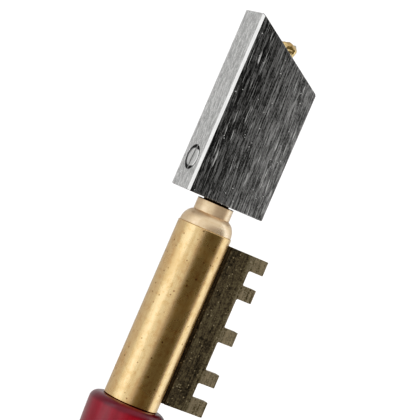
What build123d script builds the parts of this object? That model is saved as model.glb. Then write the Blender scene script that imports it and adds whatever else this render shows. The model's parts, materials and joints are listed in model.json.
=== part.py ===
from build123d import *
import math
import os

# A glazier's diamond: a hand glass cutter with a swivelling steel head, a brass ferrule that
# carries a notched breaking comb, and a turned wooden handle.
#
# Frame, in millimetres: +X runs along the tool towards the head, +Z is square to the head's wide
# face, and the comb stands out towards -Y. The tool's axis is y = 0, z = 0. The origin is on it, in
# the middle of the handle's straight grip.

# ---- Driving dimensions ----
COLLAR_X = 70.0            # where the handle ends and the ferrule begins

HANDLE_LENGTH = 108.0
COLLAR_RADIUS = 6.75
COLLAR_ROUND = 1.5         # length of the rounded shoulder at the ferrule end
WAIST_RADIUS = 5.5
GRIP_RADIUS = 7.6
GRIP_LENGTH = 24.0
BUTT_RADIUS = 4.9
SPIGOT_LENGTH = 20.0       # wood inside the ferrule

TUBE_RADIUS = 4.75
TUBE_BORE = 4.0
TUBE_LENGTH = 31.3
FIT = 0.02                 # radial room between parts that are soldered or driven together

BUSH_SEAM_RADIUS = 4.58    # the dome is a little slimmer than the tube it closes
BUSH_DOME_MID = (1.43, 4.25)
BUSH_DOME_HEIGHT = 2.52
BUSH_DEPTH = 7.0           # plug inside the tube
SHANK_RADIUS = 2.0
SHANK_LENGTH = 12.6
NUT_FLATS = 6.8
NUT_THICKNESS = 2.8
NECK_RADIUS = 3.2
NECK_GAP = 0.2             # air between the neck's shoulder and the head
NECK_EDGE = 0.08

HEAD_X = COLLAR_X + 36.1
HEAD_WIDTH = 15.0
HEAD_THICKNESS = 7.0
HEAD_LONG_SIDE = 31.3
HEAD_SHORT_SIDE = 22.8
GUIDE_CHAMFER = 0.4        # edges of the narrow guide face, +Y
BACK_CHAMFER = 0.3         # edges of the comb-side face, -Y
END_CHAMFER = 0.15

PIVOT_RADIUS = 2.25
PIVOT_LENGTH = 10.0
PIVOT_ROUND = 0.5
RUNNING_GAP = 0.05         # radial, and at the pivot's end
SWIVEL_LIMIT = 20.0        # degrees each way

SCREW_X = HEAD_X + 5.3
SCREW_RADIUS = 2.15
SCREW_EDGE = 0.18
SCREW_HOLE_EDGE = 0.04
SCREW_SLOT = (0.5, 0.8)    # width, depth
SCREW_SLOT_ANGLE = -4.0    # degrees off the tool's axis
DOG_RADIUS = 1.1
DOG_TIP_Y = 1.05
DOG_ROOT_Y = 2.7

SETTING_RADIUS = 1.7
SETTING_SHARE = 0.51       # place along the sloped face, from the long side
SETTING_DEPTH = 3.2
SETTING_HEIGHT = 2.35
SETTING_PEAK = 0.6         # the peak leans this far towards the short side
SOLDER_SIZE = 0.2
DIAMOND_SIZE = 0.55

COMB_START = 1.65          # first tooth, from the collar
COMB_TEETH = (2.8, 2.4, 2.6, 2.45, 2.55)
COMB_NOTCHES = (2.6, 5.2, 5.3, 2.65)
COMB_RADIUS = 13.2
NOTCH_RADII = (10.0, 10.3, 10.35, 10.4)
COMB_SHOULDER = 5.7
COMB_THICKNESS = 1.5
TANG_THICKNESS = 0.7
NOTCH_CORNER = 0.3

PIN_X = COLLAR_X + 5.0
PIN_RADIUS = 0.6
PIN_DEPTH = 5.0
PIN_STAND = 0.12

# ---- Values that follow from them ----
SEAM_X = COLLAR_X + TUBE_LENGTH
DOME_TOP_X = SEAM_X + BUSH_DOME_HEIGHT
SHOULDER_X = HEAD_X - NECK_GAP
BUTT_X = COLLAR_X - HANDLE_LENGTH
COMB_LENGTH = sum(COMB_TEETH) + sum(COMB_NOTCHES)
HALF_WIDTH = HEAD_WIDTH / 2
HALF_THICKNESS = HEAD_THICKNESS / 2


def turned(profile):
    """A solid turned about the tool's axis from a closed outline in the XY plane."""
    return revolve(make_face(profile), Axis.X, 360)


def turned_steps(steps):
    """A turned solid from (x, radius) corners, closed along the axis."""
    first, last = steps[0], steps[-1]
    return turned(Polyline((first[0], 0), *steps, (last[0], 0), close=True))


def rod(x_start, x_end, radius):
    """A plain cylinder along the tool's axis."""
    return turned_steps([(x_start, radius), (x_end, radius)])


def cross_rod(x, y_start, y_end, radius):
    """A plain cylinder along Y."""
    plane = Plane(origin=(x, y_start, 0), x_dir=(1, 0, 0), z_dir=(0, 1, 0))
    return extrude(plane * Circle(radius), y_end - y_start)


def block(x_span, y_span, z_span):
    """An upright box from its spans along the three axes."""
    size = [b - a for a, b in (x_span, y_span, z_span)]
    middle = [(a + b) / 2 for a, b in (x_span, y_span, z_span)]
    return Pos(*middle) * Box(*size)


def make_handle():
    grip_start = GRIP_LENGTH / 2
    grip_end = -GRIP_LENGTH / 2
    waist_x = COLLAR_X - 24.0
    butt_x = BUTT_X + 3.5
    shoulder_x = COLLAR_X - COLLAR_ROUND
    spigot_x = COLLAR_X + SPIGOT_LENGTH
    spigot_radius = TUBE_BORE - FIT
    outline = [
        Line((spigot_x, 0), (spigot_x, spigot_radius)),
        Line((spigot_x, spigot_radius), (COLLAR_X, spigot_radius)),
        Line((COLLAR_X, spigot_radius), (COLLAR_X, TUBE_RADIUS + 0.4)),
        ThreePointArc(
            (COLLAR_X, TUBE_RADIUS + 0.4), (COLLAR_X - 0.5, COLLAR_RADIUS - 0.45), (shoulder_x, COLLAR_RADIUS)
        ),
        Spline(
            (shoulder_x, COLLAR_RADIUS), (waist_x, WAIST_RADIUS), (grip_start, GRIP_RADIUS),
            tangents=[(-1, -0.05), (-1, 0)],
        ),
        Line((grip_start, GRIP_RADIUS), (grip_end, GRIP_RADIUS)),
        Spline((grip_end, GRIP_RADIUS), (butt_x, BUTT_RADIUS), tangents=[(-1, 0), (-1, -0.35)]),
        Spline((butt_x, BUTT_RADIUS), (BUTT_X, 0), tangents=[(-1, -0.35), (0, -1)]),
        Line((BUTT_X, 0), (spigot_x, 0)),
    ]
    pin_hole = extrude(
        Plane(origin=(PIN_X, 0, -TUBE_RADIUS), z_dir=(0, 0, 1)) * Circle(PIN_RADIUS), PIN_DEPTH
    )
    return turned(outline) - pin_hole


def make_ferrule_tube():
    tube = rod(COLLAR_X, SEAM_X, TUBE_RADIUS)
    tube = chamfer(tube.edges().filter_by(GeomType.CIRCLE).sort_by(Axis.X)[-1], 0.12)
    tube -= rod(COLLAR_X - 1, SEAM_X + 1, TUBE_BORE)
    half_slot = TANG_THICKNESS / 2 + FIT
    start = COLLAR_X + COMB_START
    tube -= block((start - FIT, start + COMB_LENGTH + FIT), (-TUBE_RADIUS - 1, -2), (-half_slot, half_slot))
    return tube - extrude(
        Plane(origin=(PIN_X, 0, -TUBE_RADIUS - 1), z_dir=(0, 0, 1)) * Circle(PIN_RADIUS), 3
    )


def make_ferrule_pin():
    """A short brass pin that holds the ferrule on the wood, opposite the wide face."""
    base = Plane(origin=(PIN_X, 0, -TUBE_RADIUS + PIN_DEPTH), z_dir=(0, 0, -1))
    pin = extrude(base * Circle(PIN_RADIUS - 0.01), PIN_DEPTH + PIN_STAND)
    return chamfer(pin.edges().sort_by(Axis.Z)[0], PIN_STAND)


def make_ferrule_bush():
    plug_radius = TUBE_BORE - FIT
    bore = SHANK_RADIUS + FIT
    start = SEAM_X - BUSH_DEPTH
    top_radius = NECK_RADIUS
    outline = [
        Polyline((start, bore), (start, plug_radius), (SEAM_X, plug_radius), (SEAM_X, BUSH_SEAM_RADIUS)),
        ThreePointArc(
            (SEAM_X, BUSH_SEAM_RADIUS),
            (SEAM_X + BUSH_DOME_MID[0], BUSH_DOME_MID[1]),
            (DOME_TOP_X, top_radius),
        ),
        Polyline((DOME_TOP_X, top_radius), (DOME_TOP_X, bore), (start, bore)),
    ]
    return turned(outline)


def make_swivel_stem():
    """Shank, neck and pivot in one turned pin; an arc slot in the pivot takes the screw's dog."""
    pivot_end = SHOULDER_X + NECK_GAP + PIVOT_LENGTH
    stem = turned_steps([
        (DOME_TOP_X - SHANK_LENGTH, SHANK_RADIUS - 0.3),
        (DOME_TOP_X - SHANK_LENGTH + 0.3, SHANK_RADIUS),
        (DOME_TOP_X, SHANK_RADIUS),
        (DOME_TOP_X, NECK_RADIUS),
        (SHOULDER_X - NECK_EDGE, NECK_RADIUS),
        (SHOULDER_X, NECK_RADIUS - NECK_EDGE),
        (SHOULDER_X, PIVOT_RADIUS),
        (pivot_end - PIVOT_ROUND, PIVOT_RADIUS),
        (pivot_end, PIVOT_RADIUS - PIVOT_ROUND),
    ])
    reach = DOG_RADIUS + RUNNING_GAP
    floor = DOG_TIP_Y - 0.1
    ring = rod(SCREW_X - reach, SCREW_X + reach, PIVOT_RADIUS + 1)
    ring -= rod(SCREW_X - reach - 1, SCREW_X + reach + 1, floor)
    limit = math.radians(SWIVEL_LIMIT)
    far = 8.0
    wedge_plane = Plane(origin=(SCREW_X - reach, 0, 0), x_dir=(0, 1, 0), z_dir=(1, 0, 0))
    wedge = extrude(
        wedge_plane
        * make_face(
            Polyline(
                (0, 0),
                (far * math.cos(limit), far * math.sin(limit)),
                (far * math.cos(limit), -far * math.sin(limit)),
                close=True,
            )
        ),
        2 * reach,
    )
    slot = ring & wedge
    for side in (-1, 1):
        slot += Rot(side * SWIVEL_LIMIT, 0, 0) * cross_rod(SCREW_X, floor, PIVOT_RADIUS + 1, reach)
    return stem - slot


def make_stem_nut():
    """The nut that draws the stem's neck down on the dome, inside the ferrule."""
    face = Plane(origin=(SEAM_X - BUSH_DEPTH - NUT_THICKNESS, 0, 0), z_dir=(1, 0, 0))
    hexagon = RegularPolygon(NUT_FLATS / 2, 6, major_radius=False) - Circle(SHANK_RADIUS + FIT)
    return extrude(face * hexagon, NUT_THICKNESS)


def slope_frame():
    """A plane on the head's sloped face: x down the slope, z out of it."""
    top = Vector(HEAD_X + HEAD_LONG_SIDE, HALF_WIDTH, 0)
    bottom = Vector(HEAD_X + HEAD_SHORT_SIDE, -HALF_WIDTH, 0)
    down = bottom - top
    place = top + down * SETTING_SHARE
    outward = Vector(-down.Y, down.X, 0)
    return Plane(origin=place, x_dir=down, z_dir=outward)


def make_head_block():
    outline = Polyline(
        (HEAD_X, -HALF_WIDTH),
        (HEAD_X, HALF_WIDTH),
        (HEAD_X + HEAD_LONG_SIDE, HALF_WIDTH),
        (HEAD_X + HEAD_SHORT_SIDE, -HALF_WIDTH),
        close=True,
    )
    head = extrude(Plane.XY.offset(-HALF_THICKNESS) * make_face(outline), HEAD_THICKNESS)
    along = head.edges().filter_by(Axis.X)
    head = chamfer(along.group_by(Axis.Y)[-1], GUIDE_CHAMFER)
    along = head.edges().filter_by(Axis.X)
    head = chamfer(along.group_by(Axis.Y)[0], BACK_CHAMFER)
    sloped = slope_frame().z_dir
    ends = [f for f in head.faces() if f.normal_at().X < -0.9 or f.normal_at().dot(sloped) > 0.99]
    head = chamfer([e for f in ends for e in f.edges()], END_CHAMFER)
    head -= rod(HEAD_X - 1, HEAD_X + PIVOT_LENGTH + RUNNING_GAP, PIVOT_RADIUS + RUNNING_GAP)
    head -= cross_rod(SCREW_X, 1.0, HALF_WIDTH + 1, SCREW_RADIUS + FIT)
    head -= extrude(slope_frame().offset(-SETTING_DEPTH) * Circle(SETTING_RADIUS + FIT), SETTING_DEPTH + 1)
    rim = [
        e for e in head.edges().filter_by(GeomType.CIRCLE)
        if abs(e.arc_center.Y - HALF_WIDTH) < 0.01 and abs(e.arc_center.X - SCREW_X) < 0.01
    ]
    return chamfer(rim, SCREW_HOLE_EDGE)


def make_head_screw():
    """Slotted screw, flush in the guide face; its dog holds the head on and stops the swivel."""
    top = HALF_WIDTH - 0.04
    screw = cross_rod(SCREW_X, DOG_ROOT_Y, top, SCREW_RADIUS)
    screw = chamfer(screw.edges().sort_by(Axis.Y)[-1], SCREW_EDGE)
    screw += cross_rod(SCREW_X, DOG_TIP_Y, DOG_ROOT_Y, DOG_RADIUS)
    width, depth = SCREW_SLOT
    slot = Box(3 * SCREW_RADIUS, 2 * depth, width)
    return screw - Pos(SCREW_X, top, 0) * Rot(0, SCREW_SLOT_ANGLE, 0) * slot


def setting_blank():
    """The brass stud, filed to a leaning peak, in the slope's own plane."""
    stud = extrude(Plane.XY.offset(-SETTING_DEPTH) * Circle(SETTING_RADIUS), SETTING_DEPTH + SETTING_HEIGHT)
    side = Polyline(
        (-SETTING_RADIUS - 1, -SETTING_DEPTH - 1),
        (-SETTING_RADIUS - 1, SETTING_HEIGHT - 2.1),
        (-SETTING_RADIUS, SETTING_HEIGHT - 1.25),
        (-0.7, SETTING_HEIGHT - 0.35),
        (SETTING_PEAK - 0.35, SETTING_HEIGHT),
        (SETTING_PEAK + 0.25, SETTING_HEIGHT),
        (SETTING_RADIUS, SETTING_HEIGHT - 1.5),
        (SETTING_RADIUS + 1, SETTING_HEIGHT - 2.6),
        (SETTING_RADIUS + 1, -SETTING_DEPTH - 1),
        close=True,
    )
    stud &= extrude(Plane.XZ * make_face(side), 5, both=True)
    front = Polyline(
        (-SETTING_RADIUS - 1, -SETTING_DEPTH - 1),
        (-SETTING_RADIUS - 1, SETTING_HEIGHT - 1.6),
        (-0.7, SETTING_HEIGHT),
        (0.7, SETTING_HEIGHT),
        (SETTING_RADIUS + 1, SETTING_HEIGHT - 1.6),
        (SETTING_RADIUS + 1, -SETTING_DEPTH - 1),
        close=True,
    )
    return stud & extrude(Plane.YZ * make_face(front), 5, both=True)


def diamond_blank(scale=1.0):
    """A natural eight-sided crystal, one point up, in the slope's own plane."""
    size = DIAMOND_SIZE * scale
    place = Pos(SETTING_PEAK, 0, SETTING_HEIGHT - 0.1) * Rot(0, 0, 15)
    half = loft([place * Rectangle(2 * size, 2 * size), place * Pos(0, 0, size) * Rectangle(0.04, 0.04)])
    other = loft([place * Rectangle(2 * size, 2 * size), place * Pos(0, 0, -size) * Rectangle(0.04, 0.04)])
    return half + other


def make_diamond_setting():
    return slope_frame().location * (setting_blank() - diamond_blank(1.02))


def make_diamond_point():
    return slope_frame().location * diamond_blank()


def make_setting_solder():
    """The bead of solder round the stud, where it leaves the sloped face."""
    inner = SETTING_RADIUS + 0.005
    bead = Polyline((inner, 0.005), (inner + SOLDER_SIZE, 0.005), (inner, SOLDER_SIZE), close=True)
    ring = revolve(Plane.XZ * make_face(bead), Axis.Z, 360)
    return slope_frame().location * ring


def make_breaker_comb():
    """The notched plate, with the thinner tang that is soldered in the ferrule's slot."""
    start = COLLAR_X + COMB_START
    end = start + COMB_LENGTH
    half = COMB_THICKNESS / 2
    plate = block((start, end), (-COMB_RADIUS, -COMB_SHOULDER), (-half, half))
    x = start
    for tooth, notch, bottom in zip(COMB_TEETH, COMB_NOTCHES, NOTCH_RADII):
        x += tooth
        cut = block((x, x + notch), (-COMB_RADIUS - 2, -bottom), (-2, 2))
        corners = cut.edges().filter_by(Axis.Z).group_by(Axis.Y)[-1]
        plate -= fillet(corners, NOTCH_CORNER)
        x += notch
    tang = block((start, end), (-COMB_SHOULDER, -3.5), (-TANG_THICKNESS / 2, TANG_THICKNESS / 2))
    tang -= rod(start - 1, end + 1, TUBE_BORE)
    return plate + tang


PARTS = {
    "handle": make_handle,
    "ferrule_tube": make_ferrule_tube,
    "ferrule_pin": make_ferrule_pin,
    "ferrule_bush": make_ferrule_bush,
    "swivel_stem": make_swivel_stem,
    "stem_nut": make_stem_nut,
    "breaker_comb": make_breaker_comb,
    "head_block": make_head_block,
    "head_screw": make_head_screw,
    "diamond_setting": make_diamond_setting,
    "setting_solder": make_setting_solder,
    "diamond_point": make_diamond_point,
}

os.makedirs("parts", exist_ok=True)
for name, make in PARTS.items():
    export_step(make(), f"parts/{name}.step")
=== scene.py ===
import json
import logging
import math
from dataclasses import dataclass, field
from enum import Enum

import bmesh
import bpy
from mathutils import Matrix, Vector
from mathutils.noise import fractal

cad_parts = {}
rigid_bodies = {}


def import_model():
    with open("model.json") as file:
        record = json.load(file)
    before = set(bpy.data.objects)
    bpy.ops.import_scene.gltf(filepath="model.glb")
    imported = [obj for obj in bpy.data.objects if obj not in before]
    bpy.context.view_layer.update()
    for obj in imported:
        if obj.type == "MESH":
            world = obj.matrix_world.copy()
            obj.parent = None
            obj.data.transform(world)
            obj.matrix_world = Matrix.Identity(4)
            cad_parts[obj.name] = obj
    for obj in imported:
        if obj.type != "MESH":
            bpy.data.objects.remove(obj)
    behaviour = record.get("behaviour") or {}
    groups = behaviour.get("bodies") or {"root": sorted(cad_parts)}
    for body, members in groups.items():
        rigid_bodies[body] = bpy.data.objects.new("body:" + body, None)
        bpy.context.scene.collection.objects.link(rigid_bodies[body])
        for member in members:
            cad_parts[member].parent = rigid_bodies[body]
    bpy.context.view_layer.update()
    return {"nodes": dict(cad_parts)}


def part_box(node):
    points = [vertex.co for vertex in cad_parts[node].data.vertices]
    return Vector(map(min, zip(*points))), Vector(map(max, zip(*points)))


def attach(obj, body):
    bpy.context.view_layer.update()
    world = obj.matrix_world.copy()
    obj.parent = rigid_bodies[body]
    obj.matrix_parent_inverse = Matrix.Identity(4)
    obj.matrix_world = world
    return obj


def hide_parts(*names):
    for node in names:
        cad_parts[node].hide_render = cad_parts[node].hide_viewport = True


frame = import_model()

# A glazier's diamond. +X runs along the tool to the head, +Z is square to the head's wide face, and
# the comb stands out towards -Y. Lengths are metres; MM turns the drawing's millimetres into them.
MM = 0.001
LOG = logging.getLogger("glass_cutter")

Colour = tuple[float, float, float]
Profile = list[tuple[float, float]]


class Body(Enum):
    """The two bodies that the head's swivel joins."""

    HANDLE = "handle_and_ferrule"
    HEAD = "swivel_head"


class Lay(Enum):
    """Which way a finish's fine lines run: how far a pattern is drawn out along X, Y and Z."""

    ALONG = (18.0, 1.0, 1.0)
    GROUND = (55.0, 1.0, 1.0)
    ROUND = (1.0, 30.0, 30.0)
    EVEN = (1.0, 1.0, 1.0)


# ---- Node helpers ----


def node(tree: bpy.types.NodeTree, kind: str, **values) -> bpy.types.Node:
    """Adds a node and sets its properties and inputs.

    Args:
        tree: the tree that takes the node.
        kind: the node's Blender type.
        values: property names, or input names with _ for a space, and what they are set or linked to.

    Returns:
        The new node.
    """
    made = tree.nodes.new(kind)
    for name, value in values.items():
        if name in made.bl_rna.properties:
            setattr(made, name, value)
    for name, value in values.items():
        if name in made.bl_rna.properties:
            continue
        plug(tree, made, name.replace("_", " "), value)
    return made


def plug(tree: bpy.types.NodeTree, target: bpy.types.Node, name: str, value: object) -> None:
    """Sets or links one input of a node.

    Args:
        tree: the node's tree.
        target: the node.
        name: the input's name, or its number in the list of inputs.
        value: an output socket to link, or a plain value.
    """
    socket = target.inputs[int(name)] if name.isdigit() else target.inputs[name]
    if isinstance(value, bpy.types.NodeSocket):
        tree.links.new(value, socket)
    elif isinstance(value, tuple) and socket.type == "RGBA":
        socket.default_value = (*value, 1.0)
    else:
        socket.default_value = value


def maths(tree: bpy.types.NodeTree, operation: str, *terms: object) -> bpy.types.NodeSocket:
    """A Math node's result.

    Args:
        tree: the tree.
        operation: the node's operation.
        terms: sockets or numbers, in order.

    Returns:
        The output socket.
    """
    made = tree.nodes.new("ShaderNodeMath")
    made.operation = operation
    for i, term in enumerate(terms):
        plug(tree, made, str(i), term)
    return made.outputs[0]


def ramp(tree: bpy.types.NodeTree, value: object, low: float, high: float,
         to_low: float = 0.0, to_high: float = 1.0) -> bpy.types.NodeSocket:
    """A clamped smooth step from one range to another.

    Args:
        tree: the tree.
        value: the socket that is read.
        low: where the step starts.
        high: where the step ends.
        to_low: the result at low.
        to_high: the result at high.

    Returns:
        The output socket.
    """
    made = node(tree, "ShaderNodeMapRange", interpolation_type="SMOOTHSTEP")
    for i, term in enumerate((value, low, high, to_low, to_high)):
        plug(tree, made, str(i), term)
    return made.outputs[0]


def blend(tree: bpy.types.NodeTree, share: object, first: object, second: object) -> bpy.types.NodeSocket:
    """A mix of two colours.

    Args:
        tree: the tree.
        share: how much of the second colour, as a socket or a number.
        first: the colour at share 0.
        second: the colour at share 1.

    Returns:
        The output socket.
    """
    made = tree.nodes.new("ShaderNodeMix")
    made.data_type = "RGBA"
    plug(tree, made, "0", share)
    plug(tree, made, "6", first)
    plug(tree, made, "7", second)
    return made.outputs[2]


def new_group(name: str, inputs: dict[str, float | None], outputs: dict[str, str]) -> tuple:
    """An empty shader group with named sockets.

    Args:
        name: the group's name.
        inputs: each input's name and default value; None marks a vector.
        outputs: each output's name and socket type.

    Returns:
        The tree, its input node and its output node.
    """
    tree = bpy.data.node_groups.new(name, "ShaderNodeTree")
    for label, value in inputs.items():
        kind = "NodeSocketVector" if value is None else "NodeSocketFloat"
        socket = tree.interface.new_socket(label, in_out="INPUT", socket_type=kind)
        if value is not None:
            socket.default_value = value
    for label, kind in outputs.items():
        tree.interface.new_socket(label, in_out="OUTPUT", socket_type=kind)
    return tree, tree.nodes.new("NodeGroupInput"), tree.nodes.new("NodeGroupOutput")


def noise(tree: bpy.types.NodeTree, vector: object, scale: object, seed: object,
          detail: float = 3.0, roughness: float = 0.55) -> bpy.types.NodeSocket:
    """Seeded noise from 0 to 1.

    Args:
        tree: the tree.
        vector: where it is read.
        scale: features per metre.
        seed: which pattern.
        detail: octaves.
        roughness: how strong the finer octaves are.

    Returns:
        The output socket.
    """
    made = node(tree, "ShaderNodeTexNoise", noise_dimensions="4D", Vector=vector, Scale=scale, W=seed,
                Detail=detail, Roughness=roughness)
    return made.outputs[0]


class Effects:
    """The shader groups that more than one finish uses."""

    def __init__(self) -> None:
        self.grain = self._make_grain()
        self.blotches = self._make_blotches()
        self.specks = self._make_specks()
        self.crease = self._make_crease()

    @staticmethod
    def _make_grain() -> bpy.types.NodeTree:
        """Fine lines left by grinding, drawing or turning."""
        tree, given, out = new_group(
            "tool_lines",
            {"Vector": None, "Lines per Metre": 3000.0, "Contrast": 1.0, "Seed": 0.0},
            {"Tone": "NodeSocketFloat", "Bright Lines": "NodeSocketFloat", "Height": "NodeSocketFloat"},
        )
        vector, scale, contrast, seed = given.outputs[:4]
        broad = noise(tree, vector, maths(tree, "MULTIPLY", scale, 0.22), seed, 2.0)
        fine = noise(tree, vector, scale, maths(tree, "ADD", seed, 7.3), 3.0, 0.8)
        sparse = noise(tree, vector, maths(tree, "MULTIPLY", scale, 0.85), maths(tree, "ADD", seed, 3.1), 2.0)
        mixed = maths(tree, "ADD", maths(tree, "MULTIPLY", broad, 0.08), maths(tree, "MULTIPLY", fine, 0.92))
        centred = maths(tree, "MULTIPLY", maths(tree, "SUBTRACT", mixed, 0.5), contrast)
        tone = maths(tree, "ADD", centred, 0.5)
        tone.node.use_clamp = True
        tree.links.new(tone, out.inputs[0])
        tree.links.new(ramp(tree, sparse, 0.62, 0.70), out.inputs[1])
        tree.links.new(mixed, out.inputs[2])
        return tree

    @staticmethod
    def _make_blotches() -> bpy.types.NodeTree:
        """Soft uneven patches of tarnish or dirt."""
        tree, given, out = new_group(
            "blotches",
            {"Vector": None, "Per Metre": 200.0, "Share": 0.5, "Softness": 0.15, "Seed": 0.0},
            {"Mask": "NodeSocketFloat"},
        )
        vector, scale, share, softness, seed = given.outputs[:5]
        cloud = noise(tree, vector, scale, seed, 5.0, 0.6)
        level = maths(tree, "SUBTRACT", 1.0, share)
        mask = ramp(tree, cloud, 0.4, 0.6)
        low = maths(tree, "SUBTRACT", level, softness)
        high = maths(tree, "ADD", level, softness)
        tree.links.new(ramp(tree, mask, low, high), out.inputs[0])
        return tree

    @staticmethod
    def _make_specks() -> bpy.types.NodeTree:
        """Small round pits or bright specks, in some of a grid's cells."""
        tree, given, out = new_group(
            "specks",
            {"Vector": None, "Per Metre": 1500.0, "Share": 0.2, "Size": 0.25},
            {"Mask": "NodeSocketFloat"},
        )
        vector, scale, share, size = given.outputs[:4]
        cells = node(tree, "ShaderNodeTexVoronoi", Vector=vector, Scale=scale)
        pick = node(tree, "ShaderNodeSeparateColor", Color=cells.outputs["Color"]).outputs[0]
        chosen = maths(tree, "LESS_THAN", pick, share)
        half = maths(tree, "MULTIPLY", size, 0.5)
        dot = ramp(tree, cells.outputs["Distance"], half, size, 1.0, 0.0)
        tree.links.new(maths(tree, "MULTIPLY", chosen, dot), out.inputs[0])
        return tree

    @staticmethod
    def _make_crease() -> bpy.types.NodeTree:
        """How near a point is to the tool's axis, for the painted shade in the crease along the ferrule."""
        tree, given, out = new_group(
            "crease_painted_shade",
            {"Vector": None, "Inner": 0.005, "Outer": 0.006},
            {"Mask": "NodeSocketFloat"},
        )
        vector, inner, outer = given.outputs[:3]
        parts = node(tree, "ShaderNodeSeparateXYZ", Vector=vector).outputs
        squares = [maths(tree, "MULTIPLY", parts[i], parts[i]) for i in (1, 2)]
        radius = maths(tree, "SQRT", maths(tree, "ADD", *squares))
        tree.links.new(ramp(tree, radius, inner, outer, 1.0, 0.0), out.inputs[0])
        return tree


class Paint:
    """One material under construction: its tree, its object coordinates and its Principled shader."""

    def __init__(self, name: str) -> None:
        self.material = bpy.data.materials.new(name)
        self.material.use_nodes = True
        self.tree = self.material.node_tree
        self.shader = self.tree.nodes["Principled BSDF"]
        self.place = node(self.tree, "ShaderNodeTexCoord").outputs["Object"]

    def stretched(self, lay: Lay, slant: float = 0.0) -> bpy.types.NodeSocket:
        """Object coordinates squeezed so that a pattern runs the way of a lay.

        Args:
            lay: the way.
            slant: degrees off that way, on both the wide and the narrow faces.

        Returns:
            The coordinates.
        """
        angle = math.radians(slant)
        turned_by = (0.0, -angle, angle)
        mapping = node(self.tree, "ShaderNodeMapping", vector_type="TEXTURE", Vector=self.place,
                       Rotation=turned_by, Scale=lay.value)
        return mapping.outputs[0]

    def effect(self, group: bpy.types.NodeTree, **values) -> bpy.types.Node:
        """Places a shared group with its own values.

        Args:
            group: the shared tree.
            values: its inputs, with _ for a space.

        Returns:
            The group's node.
        """
        made = self.tree.nodes.new("ShaderNodeGroup")
        made.node_tree = group
        for name, value in values.items():
            plug(self.tree, made, name.replace("_", " "), value)
        return made

    def constants(self, **values) -> None:
        """Sets plain values on the shader's own sockets."""
        for name, value in values.items():
            plug(self.tree, self.shader, name.replace("_", " "), value)

    def drive(self, name: str, source: bpy.types.NodeSocket) -> None:
        """Links a socket into the shader."""
        self.tree.links.new(source, self.shader.inputs[name])

    def bump(self, height: bpy.types.NodeSocket, distance: float, strength: float = 1.0) -> None:
        """Turns a height from 0 to 1 into the shader's normal.

        Args:
            height: the height.
            distance: how far 1 stands above 0, in metres.
            strength: the bump's strength.
        """
        made = node(self.tree, "ShaderNodeBump", Height=height, Distance=distance, Strength=strength)
        self.drive("Normal", made.outputs[0])


# ---- Finishes ----


@dataclass(frozen=True)
class GroundSteel:
    """Steel ground lengthways by hand, from dull and dark to a bright chamfer, with painted light that can
    brighten a face towards -Y.
    """

    name: str
    dark: float
    light: float
    shine: float
    roughness: float
    metal: float
    lines: float
    specks: float
    seed: float
    slant: float = 3.0
    # How much painted light raises the tones towards -Y.
    lift: float = 0.0
    lay: Lay = Lay.GROUND
    cool: Colour = (1.0, 1.0, 0.985)
    contrast: float = 5.6
    # Where across Y the painted light starts, and where it is full.
    fresh_from: float = 6.0 * MM
    fresh_to: float = -7.0 * MM

    def tint(self, grey: float) -> Colour:
        """A grey with the steel's slight coolness."""
        return tuple(grey * part for part in self.cool)

    def make(self, effects: Effects) -> bpy.types.Material:
        """Builds the material."""
        paint = Paint(self.name)
        tree = paint.tree
        grain = paint.effect(effects.grain, Vector=paint.stretched(self.lay, self.slant),
                             Lines_per_Metre=4500.0, Contrast=self.contrast, Seed=self.seed)
        patches = paint.effect(effects.blotches, Vector=paint.place, Per_Metre=220.0, Share=0.45,
                               Softness=0.5, Seed=self.seed)
        specks = paint.effect(effects.specks, Vector=paint.place, Per_Metre=2600.0, Share=0.05, Size=0.28)
        across = node(tree, "ShaderNodeSeparateXYZ", Vector=paint.place).outputs[1]
        # Painted light, not wear: this share rises across the face towards -Y and lifts the tones.
        worn = ramp(tree, across, self.fresh_from, self.fresh_to, 0.0, self.lift)
        fuzz = ramp(tree, noise(tree, paint.place, 3300.0, self.seed + 2.0, 3.0, 0.8), 0.3, 0.7, -0.22, 0.22)
        tone = maths(tree, "ADD", maths(tree, "POWER", grain.outputs["Tone"], 1.6), fuzz)
        tone.node.use_clamp = True
        dull = blend(tree, worn, self.tint(self.dark), self.tint(self.light))
        upper_tone = blend(tree, worn, self.tint(self.light), self.tint(self.shine))
        ground = blend(tree, tone, dull, upper_tone)
        cloud = blend(tree, maths(tree, "MULTIPLY", patches.outputs[0], 0.10), ground, self.tint(self.light))
        lined = blend(tree, maths(tree, "MULTIPLY", grain.outputs["Bright Lines"], self.lines), cloud,
                      self.tint(self.shine))
        specked = maths(tree, "MULTIPLY", specks.outputs[0], self.specks)
        paint.drive("Base Color", blend(tree, specked, lined, self.tint(self.shine)))
        rough = ramp(tree, grain.outputs["Tone"], 0.0, 1.0, self.roughness + 0.08, self.roughness - 0.06)
        paint.drive("Roughness", rough)
        paint.bump(grain.outputs["Height"], 0.012 * MM, 0.8)
        paint.constants(Metallic=self.metal)
        return paint.material


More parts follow.
